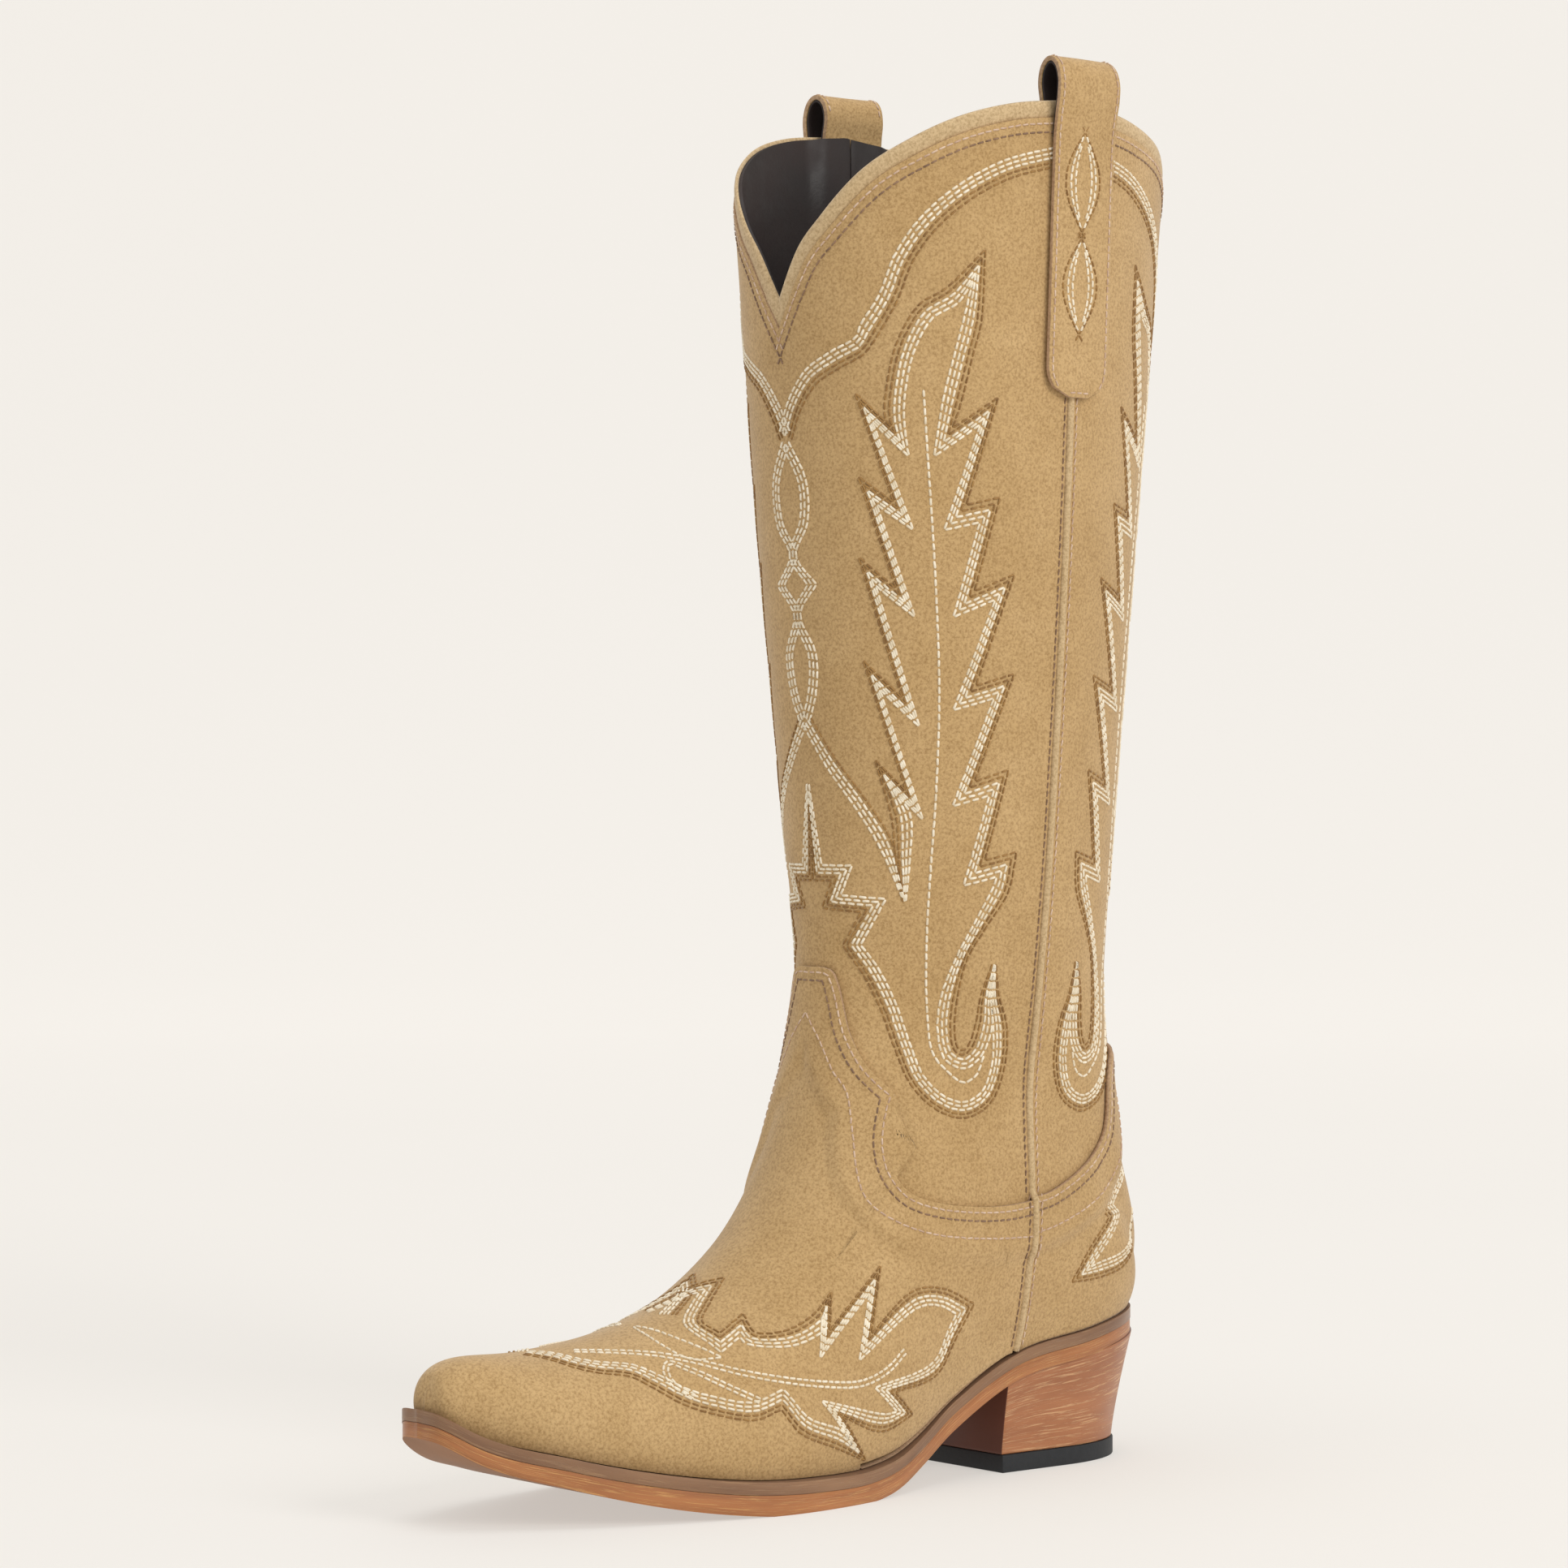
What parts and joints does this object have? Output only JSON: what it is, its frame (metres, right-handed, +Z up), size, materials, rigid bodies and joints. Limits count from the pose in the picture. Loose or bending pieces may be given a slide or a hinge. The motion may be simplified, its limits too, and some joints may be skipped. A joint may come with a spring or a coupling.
{
  "type": "cowboy boot",
  "caption": "Tall suede western boot with a snip toe, V-notched top, two pull straps, stitched decoration, welted sole and block heel.",
  "frame": {"origin": "on the floor under the front half of the heel, on the centre plane of the leg", "axes": "+Z up the leg, -Y towards the toe, +X towards the outer (lateral) side of this left boot"},
  "size_m": [0.1218, 0.2692, 0.433],
  "materials": {
    "suede": "tan suede nap",
    "binding": "light tan, matt",
    "lining": "dark brown, soft sheen",
    "stiffener": "matt",
    "board": "leatherboard, matt",
    "cork": "cork",
    "steel": "plain",
    "welt": "taupe brown, matt",
    "sole": "stacked leather look, satin",
    "heel_stack": "stacked leather look, satin",
    "rubber": "matt"
  },
  "bodies": {
    "root": {"shaft_front_panel": "suede", "shaft_back_panel": "suede", "vamp": "suede", "heel_counter": "suede", "pull_strap_lateral": "suede", "pull_strap_medial": "suede", "topline_binding_front": "binding", "topline_binding_back": "binding", "side_bead_lateral": "binding", "side_bead_medial": "binding", "shaft_front_lining": "lining", "shaft_back_lining": "lining", "vamp_lining": "lining", "heel_lining": "lining", "pull_strap_lining_lateral": "lining", "pull_strap_lining_medial": "lining", "sock_liner": "lining", "toe_puff": "stiffener", "counter_stiffener": "stiffener", "insole_board": "board", "cork_filler": "cork", "steel_shank": "steel", "heel_nail_1": "steel", "heel_nail_2": "steel", "heel_nail_3": "steel", "heel_nail_4": "steel", "heel_screw": "steel", "welt": "welt", "outsole": "sole", "heel_block": "heel_stack", "top_lift": "rubber"}
  },
  "joints": []
}
